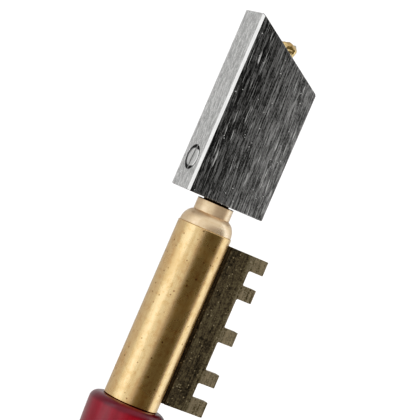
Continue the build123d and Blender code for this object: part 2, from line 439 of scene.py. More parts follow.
@dataclass(frozen=True)
class RimmedSteel:
    """A small steel face with a turned rim, painted with reflections: dark towards -Z, bright towards +Z, and
    black at its outer edge and at its two ends along X.
    """

    name: str
    middle: float
    radius: float

    def make(self, effects: Effects) -> bpy.types.Material:
        """Builds the material."""
        paint = Paint(self.name)
        tree = paint.tree
        grain = paint.effect(effects.grain, Vector=paint.stretched(Lay.ALONG, 3.0), Lines_per_Metre=3600.0,
                             Contrast=3.0, Seed=12.0)
        parts = node(tree, "ShaderNodeSeparateXYZ", Vector=paint.place).outputs
        along = maths(tree, "SUBTRACT", parts[0], self.middle)
        squares = [maths(tree, "MULTIPLY", part, part) for part in (along, parts[2])]
        radius = maths(tree, "SQRT", maths(tree, "ADD", *squares))
        rim = ramp(tree, radius, self.radius - 0.64 * MM, self.radius - 0.54 * MM)
        ends = ramp(tree, maths(tree, "ABSOLUTE", along), 0.55 * self.radius, 0.72 * self.radius)
        face = blend(tree, grain.outputs["Tone"], (0.40, 0.40, 0.39), (0.85, 0.85, 0.84))
        # Painted reflection: the rim shades from dark towards -Z to bright towards +Z.
        rim_lit_gradient = blend(tree, ramp(tree, parts[2], -0.2 * self.radius, 0.6 * self.radius), (0.16, 0.16, 0.16),
                     (0.95, 0.95, 0.94))
        # Painted shade: the rim's outer edge and its two ends along X go black.
        outer = ramp(tree, radius, self.radius - 0.30 * MM, self.radius - 0.20 * MM)
        painted_dark_marks = maths(tree, "MAXIMUM", ends, outer)
        ring = blend(tree, painted_dark_marks, rim_lit_gradient, (0.012, 0.012, 0.012))
        paint.drive("Base Color", blend(tree, rim, face, ring))
        paint.drive("Roughness", ramp(tree, grain.outputs["Tone"], 0.0, 1.0, 0.42, 0.30))
        paint.bump(grain.outputs["Height"], 0.01 * MM, 0.8)
        paint.constants(Metallic=0.85)
        return paint.material


@dataclass(frozen=True)
class Brass:
    """Yellow or pinkish brass, polished, with fine lines and a little brown tarnish.

    A painted shade turns the brass black at a seam; its field gives where along the tool it starts, and where
    it is thickest. It starts past the tool's end where a piece has none.
    """

    name: str
    base: Colour
    tarnish: Colour
    roughness: float
    tarnish_share: float
    line_depth: float
    lay: Lay
    seed: float
    pits: float = 0.3
    metal: float = 1.0
    grime: tuple[float, float] = (1.0, 2.0)
    mottle: float = 0.0

    def make(self, effects: Effects) -> bpy.types.Material:
        """Builds the material."""
        paint = Paint(self.name)
        tree = paint.tree
        grain = paint.effect(effects.grain, Vector=paint.stretched(self.lay), Lines_per_Metre=2400.0,
                             Contrast=1.0, Seed=self.seed)
        cloud = paint.effect(effects.blotches, Vector=paint.place, Per_Metre=140.0, Share=self.tarnish_share,
                             Softness=0.5, Seed=self.seed + 1.7)
        pits = paint.effect(effects.specks, Vector=paint.place, Per_Metre=1300.0, Share=0.16, Size=0.28)
        fine_cloud = noise(tree, paint.place, 1100.0, self.seed + 9.0, 4.0, 0.7)
        mottle = ramp(tree, fine_cloud, 0.45, 0.70, 0.0, self.mottle)
        plain = blend(tree, mottle, self.base, self.tarnish)
        toned = blend(tree, ramp(tree, grain.outputs["Tone"], 0.25, 0.75, 0.35, 0.0), plain, self.tarnish)
        clouded = blend(tree, maths(tree, "MULTIPLY", cloud.outputs[0], 0.5), toned, self.tarnish)
        pitted = blend(tree, maths(tree, "MULTIPLY", pits.outputs[0], self.pits), clouded,
                       tuple(part * 0.45 for part in self.tarnish))
        along = node(tree, "ShaderNodeSeparateXYZ", Vector=paint.place).outputs[0]
        # Painted shade: black at the seam where this piece meets the next.
        seam_shaded = ramp(tree, along, *self.grime)
        paint.drive("Base Color", blend(tree, seam_shaded, pitted, tuple(part * 0.06 for part in self.tarnish)))
        rough = ramp(tree, cloud.outputs[0], 0.0, 1.0, self.roughness, self.roughness + 0.12)
        paint.drive("Roughness", rough)
        dents = noise(tree, paint.place, 2000.0, self.seed + 5.0, 3.0, 0.7)
        height = maths(tree, "ADD", grain.outputs["Height"], maths(tree, "MULTIPLY", dents, 0.8))
        paint.bump(height, self.line_depth, 0.7)
        paint.constants(Metallic=self.metal)
        return paint.material


@dataclass(frozen=True)
class Patina:
    """Old dark bronze: olive brown, mottled, rubbed lighter on the teeth, with painted shade in black along
    the ferrule.
    """

    name: str
    deep: Colour
    brown: Colour
    rubbed: Colour
    teeth_from: float
    teeth_to: float
    crease_inner: float
    crease_outer: float
    rub: float
    seed: float

    def make(self, effects: Effects) -> bpy.types.Material:
        """Builds the material."""
        paint = Paint(self.name)
        tree = paint.tree
        cloud = paint.effect(effects.blotches, Vector=paint.place, Per_Metre=520.0, Share=0.5, Softness=0.5,
                             Seed=self.seed)
        fine = noise(tree, paint.place, 3400.0, self.seed + 4.0, 3.0, 0.75)
        file_marks = paint.effect(effects.grain, Vector=paint.stretched(Lay.ALONG), Lines_per_Metre=1500.0,
                                  Contrast=1.3, Seed=self.seed)
        specks = paint.effect(effects.specks, Vector=paint.place, Per_Metre=2300.0, Share=0.14, Size=0.36)
        parts = node(tree, "ShaderNodeSeparateXYZ", Vector=paint.place).outputs
        outward = maths(tree, "MULTIPLY", parts[1], -1.0)
        teeth = ramp(tree, outward, self.teeth_from, self.teeth_to, self.rub * 0.15, self.rub)
        grit = ramp(tree, fine, 0.40, 0.62)
        streaks = ramp(tree, file_marks.outputs[0], 0.3, 0.7)
        soft = maths(tree, "MULTIPLY", maths(tree, "ADD", cloud.outputs[0], streaks), 0.25)
        mottle = maths(tree, "ADD", soft, maths(tree, "MULTIPLY", grit, 0.5))
        ground = blend(tree, mottle, self.deep, self.brown)
        marks = maths(tree, "ADD", fine, file_marks.outputs[0])
        worn = maths(tree, "MULTIPLY", teeth, ramp(tree, marks, 0.7, 1.25))
        rubbed = blend(tree, worn, ground, self.rubbed)
        speckled = blend(tree, maths(tree, "MULTIPLY", specks.outputs[0], 0.45), rubbed, self.rubbed)
        # Painted shade: the plate goes black close to the ferrule tube, where the crease's shadow falls.
        crease = paint.effect(effects.crease, Vector=paint.place, Inner=self.crease_inner,
                              Outer=self.crease_outer)
        black = (0.030, 0.016, 0.010)
        paint.drive("Base Color", blend(tree, crease.outputs[0], speckled, black))
        paint.drive("Metallic", ramp(tree, worn, 0.0, 1.0, 0.55, 0.9))
        paint.drive("Roughness", ramp(tree, mottle, 0.0, 1.0, 0.42, 0.62))
        height = maths(tree, "ADD", maths(tree, "MULTIPLY", mottle, 0.6), maths(tree, "MULTIPLY", fine, 0.4))
        paint.bump(height, 0.035 * MM, 0.9)
        return paint.material


@dataclass(frozen=True)
class Lacquer:
    """Deep red gloss lacquer over turned wood, whose long grain just shows through; dark at the rim."""

    name: str
    red: Colour
    deep: Colour
    rim: Colour
    rim_span: tuple[float, float]
    seed: float

    def make(self, effects: Effects) -> bpy.types.Material:
        """Builds the material."""
        paint = Paint(self.name)
        tree = paint.tree
        grain = paint.effect(effects.grain, Vector=paint.stretched(Lay.ALONG), Lines_per_Metre=900.0,
                             Contrast=1.2, Seed=self.seed)
        cloud = paint.effect(effects.blotches, Vector=paint.place, Per_Metre=60.0, Share=0.5, Softness=0.5,
                             Seed=self.seed)
        dust = paint.effect(effects.specks, Vector=paint.place, Per_Metre=900.0, Share=0.04, Size=0.2)
        through = blend(tree, ramp(tree, grain.outputs["Tone"], 0.2, 0.8, 0.0, 0.55), self.red, self.deep)
        clouded = blend(tree, maths(tree, "MULTIPLY", cloud.outputs[0], 0.35), through, self.deep)
        along = node(tree, "ShaderNodeSeparateXYZ", Vector=paint.place).outputs[0]
        patchy = maths(tree, "ADD", cloud.outputs[0], 0.5)
        rim = maths(tree, "MULTIPLY", ramp(tree, along, *self.rim_span), patchy)
        rim.node.use_clamp = True
        paint.drive("Base Color", blend(tree, rim, clouded, self.rim))
        rough = ramp(tree, cloud.outputs[0], 0.0, 1.0, 0.30, 0.38)
        paint.drive("Roughness", maths(tree, "ADD", rough, maths(tree, "MULTIPLY", dust.outputs[0], 0.2)))
        flow = noise(tree, paint.place, 320.0, self.seed, 2.0)
        height = maths(tree, "ADD", maths(tree, "MULTIPLY", grain.outputs["Height"], 0.35), flow)
        paint.bump(height, 0.03 * MM, 0.5)
        paint.constants(Coat_Weight=0.5, Coat_Roughness=0.24, Specular_IOR_Level=0.35)
        return paint.material


@dataclass(frozen=True)
class Solder:
    """Dull grey soft solder, a little lumpy."""

    name: str
    seed: float

    def make(self, effects: Effects) -> bpy.types.Material:
        """Builds the material."""
        paint = Paint(self.name)
        tree = paint.tree
        cloud = paint.effect(effects.blotches, Vector=paint.place, Per_Metre=700.0, Share=0.5, Softness=0.4,
                             Seed=self.seed)
        paint.drive("Base Color", blend(tree, cloud.outputs[0], (0.50, 0.50, 0.48), (0.22, 0.21, 0.20)))
        paint.drive("Roughness", ramp(tree, cloud.outputs[0], 0.0, 1.0, 0.38, 0.6))
        paint.bump(noise(tree, paint.place, 1800.0, self.seed), 0.04 * MM)
        paint.constants(Metallic=1.0)
        return paint.material


@dataclass(frozen=True)
class Crystal:
    """A rough natural diamond: clear, faintly grey, with frosted patches."""

    name: str
    seed: float

    def make(self, effects: Effects) -> bpy.types.Material:
        """Builds the material."""
        paint = Paint(self.name)
        tree = paint.tree
        frost = paint.effect(effects.blotches, Vector=paint.place, Per_Metre=1500.0, Share=0.35, Softness=0.3,
                             Seed=self.seed)
        paint.drive("Base Color", blend(tree, frost.outputs[0], (0.86, 0.88, 0.86), (0.60, 0.62, 0.60)))
        paint.drive("Roughness", ramp(tree, frost.outputs[0], 0.0, 1.0, 0.03, 0.3))
        paint.constants(Transmission_Weight=0.85, IOR=2.42)
        return paint.material


@dataclass(frozen=True)
class Paper:
    """The pale matt sheet that the tool lies on, duller in the metal's reflections than to the eye."""

    name: str = "pale_sheet"
    seen: float = 0.93
    mirrored: float = 0.46

    def make(self, effects: Effects) -> bpy.types.Material:
        """Builds the material."""
        paint = Paint(self.name)
        seen = node(paint.tree, "ShaderNodeLightPath").outputs["Is Camera Ray"]
        dull, pale = ((tone, tone, tone) for tone in (self.mirrored, self.seen))
        paint.drive("Base Color", blend(paint.tree, seen, dull, pale))
        paint.constants(Roughness=0.9, Specular_IOR_Level=0.1)
        return paint.material


# ---- Mesh helpers ----


def piece(name: str, mesh: bpy.types.Mesh, *materials: bpy.types.Material) -> bpy.types.Object:
    """A new object in the scene, at the origin, with its materials.

    Args:
        name: the object's name.
        mesh: its mesh, already in place.
        materials: its material slots, in order.

    Returns:
        The object.
    """
    made = bpy.data.objects.new(name, mesh)
    bpy.context.scene.collection.objects.link(made)
    for material in materials:
        mesh.materials.append(material)
    return made


def finish_mesh(name: str, bm: bmesh.types.BMesh, sharp: float = 35.0) -> bpy.types.Mesh:
    """Turns a bmesh into a smooth shaded mesh with its hard edges marked.

    Args:
        name: the mesh's name.
        bm: the shape; it is freed.
        sharp: edges that turn by more than this many degrees stay hard.

    Returns:
        The mesh.
    """
    mesh = bpy.data.meshes.new(name)
    bm.to_mesh(mesh)
    bm.free()
    smooth(mesh, sharp)
    return mesh


def smooth(mesh: bpy.types.Mesh, sharp: float = 35.0) -> None:
    """Shades a mesh smooth, with edges that turn by more than sharp degrees kept hard."""
    mesh.polygons.foreach_set("use_smooth", [True] * len(mesh.polygons))
    mesh.set_sharp_from_angle(angle=math.radians(sharp))


def turned(name: str, profile: Profile, segments: int = 128, ring: bool = False) -> bpy.types.Mesh:
    """A mesh turned about the tool's axis.

    Args:
        name: the mesh's name.
        profile: (x, radius) points; a radius of 0 is a pole.
        segments: faces round the axis.
        ring: whether the profile closes on itself, as for a tube.

    Returns:
        The mesh.
    """
    bm = bmesh.new()
    rings = []
    for x, radius in profile:
        count = 1 if radius < 1e-7 else segments
        turn = [math.tau * i / segments for i in range(count)]
        rings.append([bm.verts.new((x, radius * math.cos(a), radius * math.sin(a))) for a in turn])
    pairs = list(zip(rings, rings[1:])) + ([(rings[-1], rings[0])] if ring else [])
    for first, second in pairs:
        for i in range(segments):
            j = (i + 1) % segments
            around = ((first, i), (first, j), (second, j), (second, i))
            corners = [loop[k % len(loop)] for loop, k in around]
            bm.faces.new(list(dict.fromkeys(corners)))
    bmesh.ops.recalc_face_normals(bm, faces=bm.faces)
    return finish_mesh(name, bm)


def arc(start: tuple[float, float], end: tuple[float, float], steps: int, convex: bool = True) -> Profile:
    """A quarter of an ellipse between two profile points, without its first point.

    Args:
        start: where it leaves along the axis.
        end: where it arrives square to the axis.
        steps: how many points.
        convex: whether it bulges away from the axis.

    Returns:
        The points.
    """
    points = []
    for i in range(1, steps + 1):
        a = math.pi / 2 * i / steps
        u, v = (math.sin(a), 1 - math.cos(a)) if convex else (1 - math.cos(a), math.sin(a))
        points.append((start[0] + (end[0] - start[0]) * u, start[1] + (end[1] - start[1]) * v))
    return points


def cad_shape(node_name: str) -> bmesh.types.BMesh:
    """A merged copy of a CAD node, its flat faces whole again.

    Args:
        node_name: the CAD node.

    Returns:
        The bmesh.
    """
    bm = bmesh.new()
    bm.from_mesh(frame["nodes"][node_name].data)
    bmesh.ops.remove_doubles(bm, verts=bm.verts, dist=0.0005 * MM)
    bmesh.ops.dissolve_limit(bm, angle_limit=math.radians(0.4), verts=bm.verts, edges=bm.edges)
    return bm


def apply(obj: bpy.types.Object) -> bpy.types.Object:
    """Makes an object's modifiers part of its mesh.

    Args:
        obj: the object.

    Returns:
        The same object, with a plain mesh and no modifier.
    """
    graph = bpy.context.evaluated_depsgraph_get()
    mesh = bpy.data.meshes.new_from_object(obj.evaluated_get(graph), preserve_all_data_layers=True,
                                           depsgraph=graph)
    obj.modifiers.clear()
    old, obj.data = obj.data, mesh
    bpy.data.meshes.remove(old)
    while mesh.materials and mesh.materials[0] is None:
        mesh.materials.pop(index=0)
    return obj


def soften(obj: bpy.types.Object, width: float, segments: int = 2, slot: int = -1,
           angle: float = 30.0) -> bpy.types.Object:
    """Rounds an object's hard edges and makes the result part of its mesh.

    Args:
        obj: the object.
        width: the bevel's width in metres.
        segments: faces across it.
        slot: the material slot of the new faces, or -1 to keep their neighbours'.
        angle: only edges that turn by more than this many degrees are rounded.

    Returns:
        The object.
    """
    made = obj.modifiers.new("soften", "BEVEL")
    made.width = width
    made.segments = segments
    made.limit_method = "ANGLE"
    made.angle_limit = math.radians(angle)
    made.material = slot
    made.harden_normals = True
    made.use_clamp_overlap = True
    return apply(obj)


def roughen(obj: bpy.types.Object, depth: float, grain: float) -> bpy.types.Object:
    """Gives a piece the lumps and dents of soft filed metal.

    Args:
        obj: the piece.
        depth: how far a point may move along its normal, in metres.
        grain: how far apart the lumps are, in metres.

    Returns:
        The piece.
    """
    remesh = obj.modifiers.new("even_faces", "REMESH")
    remesh.mode = "VOXEL"
    remesh.voxel_size = 0.09 * MM
    apply(obj)
    moves = [fractal(v.co / grain, 1.0, 2.0, 3) * depth * v.normal for v in obj.data.vertices]
    for vertex, move in zip(obj.data.vertices, moves):
        vertex.co += move
    smooth(obj.data, 40.0)
    return obj


def combine(obj: bpy.types.Object, operation: str, other: bpy.types.Object) -> bpy.types.Object:
    """Joins another closed shape to an object, or cuts it away, and deletes the other shape.

    Args:
        obj: the object.
        operation: UNION or DIFFERENCE.
        other: the shape that is joined or cut away.

    Returns:
        The object.
    """
    made = obj.modifiers.new("combine", "BOOLEAN")
    made.operation = operation
    made.solver = "EXACT"
    made.object = other
    apply(obj)
    bpy.data.objects.remove(other)
    return obj


def box_cutter(low: Vector, high: Vector, turn: Matrix = Matrix.Identity(4)) -> bpy.types.Object:
    """A box between two corners, turned by a matrix, for cutting."""
    bm = bmesh.new()
    bmesh.ops.create_cube(bm, size=1.0)
    bm.transform(turn @ Matrix.Translation((low + high) / 2) @ Matrix.Diagonal((*(high - low), 1.0)))
    return piece("cutter", finish_mesh("cutter", bm))


def settle(obj: bpy.types.Object, body: Body, slot: str, *nodes: str) -> bpy.types.Object:
    """Puts a finished piece on its body, in place of its CAD nodes.

    Args:
        obj: the piece.
        body: what it moves with.
        slot: the record's material slot; it is not used.
        nodes: the CAD nodes that it stands for.

    Returns:
        The piece.
    """
    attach(obj, body.value)
    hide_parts(*nodes)
    LOG.info("%s: %d faces on %s", obj.name, len(obj.data.polygons), body.value)
    return obj


# ---- Geometry Nodes ----


class GeometryTree:
    """A Geometry Nodes tree with named inputs, and the modifier that runs it."""

    def __init__(self, name: str, **inputs: str) -> None:
        """Makes the tree.

        Args:
            name: the tree's name.
            inputs: each input's name, with _ for a space, and its socket type.
        """
        self.tree = bpy.data.node_groups.new(name, "GeometryNodeTree")
        self.tree.is_modifier = True
        self.tree.interface.new_socket("Geometry", in_out="INPUT", socket_type="NodeSocketGeometry")
        self.ids = {}
        for label, kind in inputs.items():
            socket = self.tree.interface.new_socket(label.replace("_", " "), in_out="INPUT", socket_type=kind)
            self.ids[label] = socket.identifier
        self.tree.interface.new_socket("Geometry", in_out="OUTPUT", socket_type="NodeSocketGeometry")
        self.given = self.tree.nodes.new("NodeGroupInput")
        self.out = self.tree.nodes.new("NodeGroupOutput")

    def value(self, label: str) -> bpy.types.NodeSocket:
        """The output socket of a named input."""
        return self.given.outputs[label.replace("_", " ")]

    def add(self, kind: str, **values) -> bpy.types.Node:
        """Adds a node, as node() does."""
        return node(self.tree, kind, **values)

    def end(self, geometry: bpy.types.NodeSocket) -> None:
        """Ends the tree with Realize Instances and Set Material."""
        real = self.add("GeometryNodeRealizeInstances", Geometry=geometry)
        painted = self.add("GeometryNodeSetMaterial", Geometry=real.outputs[0],
                           Material=self.value("Material"))
        self.tree.links.new(painted.outputs[0], self.out.inputs[0])

    def run(self, obj: bpy.types.Object, **values) -> bpy.types.Object:
        """Runs the tree on an object and keeps the result as its mesh.

        Args:
            obj: the object.
            values: the inputs' values, by name.

        Returns:
            The object, with a plain mesh.
        """
        made = obj.modifiers.new(self.tree.name, "NODES")
        made.node_group = self.tree
        for label, value in values.items():
            made[self.ids[label]] = value
        return apply(obj)


def plate_tree() -> GeometryTree:
    """A flat plate from a closed outline whose corners are rounded by an attribute."""
    book = GeometryTree("plate_from_outline", Thickness="NodeSocketFloat", Corner_Steps="NodeSocketInt",
                        Material="NodeSocketMaterial")
    loop = book.add("GeometryNodeMeshToCurve", Mesh=book.given.outputs[0])
    radius = book.add("GeometryNodeInputNamedAttribute", data_type="FLOAT", Name="corner_radius")
    rounded = book.add("GeometryNodeFilletCurve", mode="POLY", Curve=loop.outputs[0],
                       Radius=radius.outputs[0], Count=book.value("Corner_Steps"))
    face = book.add("GeometryNodeFillCurve", mode="NGONS", Curve=rounded.outputs[0])
    half = maths(book.tree, "MULTIPLY", book.value("Thickness"), -0.5)
    lift = book.add("ShaderNodeCombineXYZ", Z=half)
    lowered = book.add("GeometryNodeTransform", Geometry=face.outputs[0], Translation=lift.outputs[0])
    up = book.add("ShaderNodeCombineXYZ", Z=1.0)
    raised = book.add("GeometryNodeExtrudeMesh", Mesh=lowered.outputs[0], Offset=up.outputs[0],
                      Offset_Scale=book.value("Thickness"), Individual=False)
    under = book.add("GeometryNodeFlipFaces", Mesh=lowered.outputs[0])
    both = book.add("GeometryNodeJoinGeometry")
    for part in (raised.outputs[0], under.outputs[0]):
        book.tree.links.new(part, both.inputs[0])
    closed = book.add("GeometryNodeMergeByDistance", Geometry=both.outputs[0], Distance=0.001 * MM)
    book.end(closed.outputs[0])
    return book


def turning_tree() -> GeometryTree:
    """A turned handle: a circle swept along the axis, its radius eased between named stations."""
    lengths = ("Collar_X", "Waist_X", "Grip_X", "Grip_End_X", "Butt_X", "Collar_Radius", "Waist_Radius",
               "Grip_Radius", "Butt_Radius", "Collar_Round", "Butt_Round")
    book = GeometryTree("turned_handle", **dict.fromkeys(lengths, "NodeSocketFloat"), Rings="NodeSocketInt",
                        Segments="NodeSocketInt", Material="NodeSocketMaterial")
    tree, value = book.tree, book.value
    start = book.add("ShaderNodeCombineXYZ", X=value("Collar_X"))
    end = book.add("ShaderNodeCombineXYZ", X=value("Butt_X"))
    line = book.add("GeometryNodeCurvePrimitiveLine", Start=start.outputs[0], End=end.outputs[0])
    even = book.add("GeometryNodeResampleCurve", Curve=line.outputs[0], Count=value("Rings"))
    share = book.add("GeometryNodeSplineParameter").outputs[0]
    wave = maths(tree, "COSINE", maths(tree, "MULTIPLY", share, math.pi))
    bunched = maths(tree, "MULTIPLY", maths(tree, "SUBTRACT", 1.0, wave), 0.5)
    length = maths(tree, "SUBTRACT", value("Collar_X"), value("Butt_X"))
    x = maths(tree, "SUBTRACT", value("Collar_X"), maths(tree, "MULTIPLY", bunched, length))
    spot = book.add("ShaderNodeCombineXYZ", X=x)
    placed = book.add("GeometryNodeSetPosition", Geometry=even.outputs[0], Position=spot.outputs[0])
    position = book.add("GeometryNodeInputPosition").outputs[0]
    where = book.add("ShaderNodeSeparateXYZ", Vector=position).outputs[0]
    waist = ramp(tree, where, value("Collar_X"), value("Waist_X"), value("Collar_Radius"),
                 value("Waist_Radius"))
    swell = maths(tree, "SUBTRACT", value("Grip_Radius"), value("Waist_Radius"))
    grip = maths(tree, "MULTIPLY", ramp(tree, where, value("Waist_X"), value("Grip_X")), swell)
    fall = maths(tree, "SUBTRACT", value("Butt_Radius"), value("Grip_Radius"))
    taper = maths(tree, "MULTIPLY", ramp(tree, where, value("Grip_End_X"), value("Butt_X")), fall)
    plain = maths(tree, "ADD", maths(tree, "ADD", waist, grip), taper)
    for near, depth in (("Collar_X", "Collar_Round"), ("Butt_X", "Butt_Round")):
        gap = maths(tree, "ABSOLUTE", maths(tree, "SUBTRACT", where, value(near)))
        inset = maths(tree, "SUBTRACT", 1.0, maths(tree, "DIVIDE", gap, value(depth)))
        inset.node.use_clamp = True
        plain = maths(tree, "MULTIPLY", plain, round_end(book, inset, near))
    sized = book.add("GeometryNodeSetCurveRadius", Curve=placed.outputs[0], Radius=plain)
    circle = book.add("GeometryNodeCurvePrimitiveCircle", Resolution=value("Segments"), Radius=1.0)
    radius = book.add("GeometryNodeInputRadius").outputs[0]
    sweep = book.add("GeometryNodeCurveToMesh", Curve=sized.outputs[0], Profile_Curve=circle.outputs[0],
                     Scale=radius, Fill_Caps=True)
    merged = book.add("GeometryNodeMergeByDistance", Geometry=sweep.outputs[0], Distance=0.002 * MM)
    book.end(merged.outputs[0])
    return book


def round_end(book: GeometryTree, inset: bpy.types.NodeSocket, near: str) -> bpy.types.NodeSocket:
    """The share of its radius that a turned end keeps as it rounds off.

    Args:
        book: the tree.
        inset: 1 at the very end, and 0 where the rounding starts.
        near: which end: the collar keeps a flat face, and the butt closes.

    Returns:
        The output socket.
    """
    tree = book.tree
    kept = maths(tree, "SQRT", maths(tree, "SUBTRACT", 1.0, maths(tree, "MULTIPLY", inset, inset)))
    if near == "Butt_X":
        return kept
    flat_share = 0.76
    return maths(tree, "ADD", flat_share, maths(tree, "MULTIPLY", kept, 1 - flat_share))


def outline_object(name: str, points: list[tuple[float, float, float]]) -> bpy.types.Object:
    """A closed loop of edges in the XY plane that carries each corner's radius.

    Args:
        name: the object's name.
        points: (x, y, corner radius) in order round the shape.

    Returns:
        The object.
    """
    mesh = bpy.data.meshes.new(name)
    count = len(points)
    mesh.from_pydata([(x, y, 0.0) for x, y, _ in points], [(i, (i + 1) % count) for i in range(count)], [])
    radii = mesh.attributes.new("corner_radius", "FLOAT", "POINT")
    radii.data.foreach_set("value", [r for _, _, r in points])
    return piece(name, mesh)


# ---- Sub-assemblies ----


def cad_corner(node_name: str, end: int, axis: str = "") -> object:
    """A dataclass field that starts as a corner of the box round a CAD node.

    Args:
        node_name: the CAD node.
        end: 0 for the low corner, or 1 for the high one.
        axis: x, y or z for that coordinate alone, or nothing for the whole corner.

    Returns:
        The field.
    """
    return field(default_factory=lambda: getattr(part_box(node_name)[end], axis or "xyz"))


@dataclass
class Handle:
    """The turned wooden handle."""

    low: Vector = cad_corner("handle", 0)
    collar_x: float = cad_corner("ferrule_tube", 0, "x")
    spigot_end: float = cad_corner("handle", 1, "x")
    spigot_radius: float = 3.98 * MM
    collar_radius: float = 6.75 * MM
    waist_radius: float = 5.5 * MM
    butt_radius: float = 5.0 * MM
    collar_round: float = 1.5 * MM
    butt_round: float = 6.0 * MM
    grip_half: float = 12.0 * MM
    waist_behind_collar: float = 24.0 * MM

    def build(self, lacquer: bpy.types.Material) -> bpy.types.Object:
        """Builds the handle with its spigot.

        Args:
            lacquer: its finish.

        Returns:
            The piece.
        """
        wood = piece("handle_wood", bpy.data.meshes.new("handle_seed"))
        turning_tree().run(
            wood,
            Collar_X=self.collar_x, Waist_X=self.collar_x - self.waist_behind_collar, Grip_X=self.grip_half,
            Grip_End_X=-self.grip_half, Butt_X=self.low.x, Collar_Radius=self.collar_radius,
            Waist_Radius=self.waist_radius, Grip_Radius=-self.low.z, Butt_Radius=self.butt_radius,
            Collar_Round=self.collar_round, Butt_Round=self.butt_round, Rings=160, Segments=128,
            Material=lacquer,
        )
        spigot = piece("spigot", turned("spigot", [
            (self.collar_x - MM, 0), (self.collar_x - MM, self.spigot_radius),
            (self.spigot_end, self.spigot_radius), (self.spigot_end, 0),
        ]))
        combine(wood, "UNION", spigot)
        smooth(wood.data)
        return settle(wood, Body.HANDLE, "handle_lacquer", "handle")


@dataclass
class Ferrule:
    """The brass tube, the domed bush that closes it and the pin that holds it."""

    low: Vector = cad_corner("ferrule_tube", 0)
    high: Vector = cad_corner("ferrule_tube", 1)
    dome_top: float = cad_corner("ferrule_bush", 1, "x")
    bush_start: float = cad_corner("ferrule_bush", 0, "x")
    bush_radius: float = cad_corner("ferrule_bush", 1, "z")
    bore: float = 4.0 * MM
    shank_radius: float = 2.02 * MM
    neck_radius: float = 3.2 * MM
    mouth_round: float = 0.14 * MM
    slot_half: float = 0.37 * MM

    def build_tube(self, brass: bpy.types.Material, comb_span: tuple[float, float]) -> bpy.types.Object:
        """Builds the tube with the comb's slot.

        Args:
            brass: its finish.
            comb_span: where the comb's tang starts and ends along the tool.

        Returns:
            The piece.
        """
        radius = self.high.z
        tube = piece("ferrule_tube_drawn", turned("ferrule_tube_drawn", [
            (self.low.x, self.bore), (self.low.x, radius), (self.high.x, radius), (self.high.x, self.bore),
        ], ring=True), brass)
        slot_low = Vector((comb_span[0], -radius - MM, -self.slot_half))
        slot_high = Vector((comb_span[1], -self.bore / 2, self.slot_half))
        combine(tube, "DIFFERENCE", box_cutter(slot_low, slot_high))
        smooth(tube.data)
        soften(tube, self.mouth_round, 3)
        return settle(tube, Body.HANDLE, "ferrule_brass", "ferrule_tube")

    def build_bush(self, brass: bpy.types.Material) -> bpy.types.Object:
        """Builds the domed bush."""
        seam = self.high.x
        shoulder = arc((seam, self.bush_radius), (self.dome_top + 0.1 * MM, 2.6 * MM), 24)
        dome = [(x, r) for x, r in shoulder if r > self.neck_radius]
        profile = [
            (self.bush_start, self.shank_radius), (self.bush_start, self.bore - 0.02 * MM),
            (seam + 0.01 * MM, self.bore - 0.02 * MM), (seam + 0.01 * MM, self.bush_radius), *dome,
            (self.dome_top, self.neck_radius), (self.dome_top, self.shank_radius),
        ]
        bush = piece("ferrule_dome", turned("ferrule_dome", profile, ring=True), brass)
        soften(bush, 0.06 * MM, 2)
        return settle(bush, Body.HANDLE, "bush_brass", "ferrule_bush")

    def build_pin(self, brass: bpy.types.Material) -> bpy.types.Object:
        """Builds the small pin, its head peened to a low dome."""
        low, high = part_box("ferrule_pin")
        radius = (high.x - low.x) / 2
        shell = -self.high.z
        profile = [(high.z, 0), (high.z, radius), (shell, radius), (shell - 0.01 * MM, radius * 1.18),
                   *arc((shell - 0.02 * MM, radius * 1.18), (low.z, 0), 6)]
        mesh = turned("ferrule_pin_peened", profile, 32)
        stand = Matrix.Translation(((low.x + high.x) / 2, 0, 0)) @ Matrix.Rotation(math.radians(-90), 4, "Y")
        mesh.transform(stand)
        pin = piece("ferrule_pin_peened", mesh, brass)
        return settle(pin, Body.HANDLE, "pin_brass", "ferrule_pin")


@dataclass
class Stem:
    """The brass stem: shank, neck and pivot."""

    low: Vector = cad_corner("swivel_stem", 0)
    high: Vector = cad_corner("swivel_stem", 1)
    dome_top: float = cad_corner("ferrule_bush", 1, "x")
    head_x: float = cad_corner("head_block", 0, "x")
    shank_radius: float = 2.0 * MM
    pivot_radius: float = 2.25 * MM
    gap: float = 0.2 * MM
    edge: float = 0.1 * MM
    pivot_round: float = 0.5 * MM

    def build(self, brass: bpy.types.Material) -> bpy.types.Object:
        """Builds the stem."""
        neck = self.high.z
        shoulder = self.head_x - self.gap
        profile = [
            (self.low.x, 0), (self.low.x, self.shank_radius), (self.dome_top, self.shank_radius),
            (self.dome_top, neck), (shoulder - self.edge, neck),
            *arc((shoulder - self.edge, neck), (shoulder, neck - self.edge), 4),
            (shoulder, self.pivot_radius), (self.high.x - self.pivot_round, self.pivot_radius),
            (self.high.x, self.pivot_radius - self.pivot_round), (self.high.x, 0),
        ]
        stem = piece("swivel_stem_turned", turned("swivel_stem_turned", profile), brass)
        soften(stem, 0.05 * MM, 2)
        return settle(stem, Body.HANDLE, "stem_brass", "swivel_stem")


